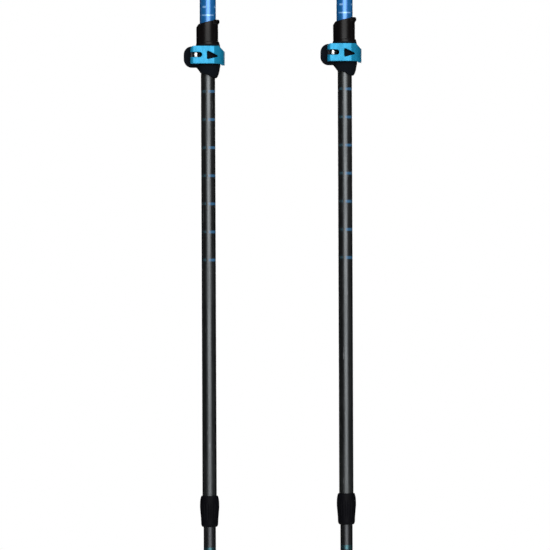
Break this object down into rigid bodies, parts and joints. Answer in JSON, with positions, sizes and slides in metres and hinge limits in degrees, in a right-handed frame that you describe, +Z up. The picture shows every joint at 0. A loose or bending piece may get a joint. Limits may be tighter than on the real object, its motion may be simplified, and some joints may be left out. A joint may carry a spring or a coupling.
{
  "type": "trekking poles",
  "caption": "Telescopic trekking poles with lever clamp, twist lock, foam grip, wrist strap and trekking basket, at full length.",
  "frame": {"origin": "tip face of the left pole, on its axis, where it stands on the ground", "axes": "+Z up along the poles from tip to grip; +X from the left pole to the right pole; -Y the side that the clamp levers face, +Y the side that the wrist straps hang on"},
  "size_m": [0.189, 0.1089, 1.352],
  "materials": {
    "grip_shell": "moulded shell, fine spark-eroded texture",
    "grip_foam": "closed-cell foam",
    "webbing": "woven polyester webbing",
    "pad_fabric": "brushed lining fabric over foam",
    "wedge_plastic": "moulded, satin",
    "blue_anodised": "clear anodised over blue, glossy",
    "lever_anodised": "machined and anodised, satin",
    "black_anodised": "satin black anodised",
    "clamp_plastic": "glass-filled nylon, satin",
    "collar_rubber": "satin moulded rubber over plastic",
    "basket_plastic": "moulded plastic",
    "liner_nylon": "natural grey nylon",
    "expander_nylon": "natural nylon",
    "cone_plastic": "acetal",
    "aluminium_plain": "turned",
    "steel": "zinc-plated steel",
    "black_steel": "black oxide",
    "bright_steel": "polished stainless steel",
    "carbide": "sintered carbide"
  },
  "bodies": {
    "upper_sections": {"left_grip_head": "grip_shell", "left_grip": "grip_foam", "left_grip_sleeve": "grip_foam", "left_strap_pin": "steel", "left_upper_shaft": "blue_anodised", "left_clamp_collar": "clamp_plastic", "left_clamp_liner": "liner_nylon", "left_captive_nut": "steel", "left_cam_washer": "black_steel", "left_lever_barrel": "black_steel", "right_grip_head": "grip_shell", "right_grip": "grip_foam", "right_grip_sleeve": "grip_foam", "right_strap_pin": "steel", "right_upper_shaft": "blue_anodised", "right_clamp_collar": "clamp_plastic", "right_clamp_liner": "liner_nylon", "right_captive_nut": "steel", "right_cam_washer": "black_steel", "right_lever_barrel": "black_steel"},
    "left_strap_loop": {"left_strap": "webbing", "left_strap_pad": "pad_fabric"},
    "left_wedge": {"left_strap_wedge": "wedge_plastic"},
    "left_lever": {"left_cam_lever": "lever_anodised"},
    "left_screw": {"left_tension_screw": "bright_steel"},
    "left_middle_section": {"left_mid_shaft": "black_anodised", "left_mid_guide": "liner_nylon", "left_twist_collar": "collar_rubber"},
    "left_expander": {"left_expander_shell": "expander_nylon"},
    "left_cone": {"left_spreader_cone": "cone_plastic"},
    "left_lower_section": {"left_stud_plug": "aluminium_plain", "left_stud": "steel", "left_stud_stop": "steel", "left_lower_shaft": "black_anodised", "left_tip_ferrule": "clamp_plastic", "left_basket": "basket_plastic", "left_carbide_tip": "carbide"},
    "right_strap_loop": {"right_strap": "webbing", "right_strap_pad": "pad_fabric"},
    "right_wedge": {"right_strap_wedge": "wedge_plastic"},
    "right_lever": {"right_cam_lever": "lever_anodised"},
    "right_screw": {"right_tension_screw": "bright_steel"},
    "right_middle_section": {"right_mid_shaft": "black_anodised", "right_mid_guide": "liner_nylon", "right_twist_collar": "collar_rubber"},
    "right_expander": {"right_expander_shell": "expander_nylon"},
    "right_cone": {"right_spreader_cone": "cone_plastic"},
    "right_lower_section": {"right_stud_plug": "aluminium_plain", "right_stud": "steel", "right_stud_stop": "steel", "right_lower_shaft": "black_anodised", "right_tip_ferrule": "clamp_plastic", "right_basket": "basket_plastic", "right_carbide_tip": "carbide"}
  },
  "joints": [
    {"name": "left_strap_swing", "type": "hinge", "parent": "upper_sections", "child": "left_strap_loop", "pos_m": [0, 0.02, 1.33], "axis": [1, 0, 0], "range_deg": [0, 100]},
    {"name": "left_wedge_lift", "type": "slide", "parent": "upper_sections", "child": "left_wedge", "axis": [0, 0, 1], "range_m": [0, 0.006]},
    {"name": "left_lever_open", "type": "hinge", "parent": "upper_sections", "child": "left_lever", "pos_m": [-0.0116, -0.01255, 0.892], "axis": [0, 0, -1], "range_deg": [0, 150]},
    {"name": "left_screw_turn", "type": "hinge", "parent": "upper_sections", "child": "left_screw", "pos_m": [-0.0116, -0.0163, 0.892], "axis": [0, 1, 0], "continuous": true},
    {"name": "left_middle_slide", "type": "slide", "parent": "upper_sections", "child": "left_middle_section", "axis": [0, 0, 1], "range_m": [0, 0.33]},
    {"name": "left_lower_slide", "type": "slide", "parent": "left_middle_section", "child": "left_expander", "axis": [0, 0, 1], "range_m": [0, 0.35]},
    {"name": "left_twist_lock", "type": "hinge", "parent": "left_expander", "child": "left_lower_section", "pos_m": [0, 0, 0.3], "axis": [0, 0, 1], "range_deg": [0, 360]},
    {"name": "left_cone_travel", "type": "slide", "parent": "left_expander", "child": "left_cone", "axis": [0, 0, 1], "range_m": [0, 0.001]},
    {"name": "right_strap_swing", "type": "hinge", "parent": "upper_sections", "child": "right_strap_loop", "pos_m": [0.134, 0.02, 1.332], "axis": [1, 0, 0], "range_deg": [0, 100]},
    {"name": "right_wedge_lift", "type": "slide", "parent": "upper_sections", "child": "right_wedge", "axis": [0, 0, 1], "range_m": [0, 0.006]},
    {"name": "right_lever_open", "type": "hinge", "parent": "upper_sections", "child": "right_lever", "pos_m": [0.1224, -0.01255, 0.894], "axis": [0, 0, -1], "range_deg": [0, 150]},
    {"name": "right_screw_turn", "type": "hinge", "parent": "upper_sections", "child": "right_screw", "pos_m": [0.1224, -0.0163, 0.894], "axis": [0, 1, 0], "continuous": true},
    {"name": "right_middle_slide", "type": "slide", "parent": "upper_sections", "child": "right_middle_section", "axis": [0, 0, 1], "range_m": [0, 0.33]},
    {"name": "right_lower_slide", "type": "slide", "parent": "right_middle_section", "child": "right_expander", "axis": [0, 0, 1], "range_m": [0, 0.35]},
    {"name": "right_twist_lock", "type": "hinge", "parent": "right_expander", "child": "right_lower_section", "pos_m": [0.134, 0, 0.3], "axis": [0, 0, 1], "range_deg": [0, 360]},
    {"name": "right_cone_travel", "type": "slide", "parent": "right_expander", "child": "right_cone", "axis": [0, 0, 1], "range_m": [0, 0.001]}
  ],
  "couplings": [
    {"joint": "left_cone_travel", "follows": "left_twist_lock", "m_per_rad": 0.00015915},
    {"joint": "right_cone_travel", "follows": "right_twist_lock", "m_per_rad": 0.00015915}
  ]
}
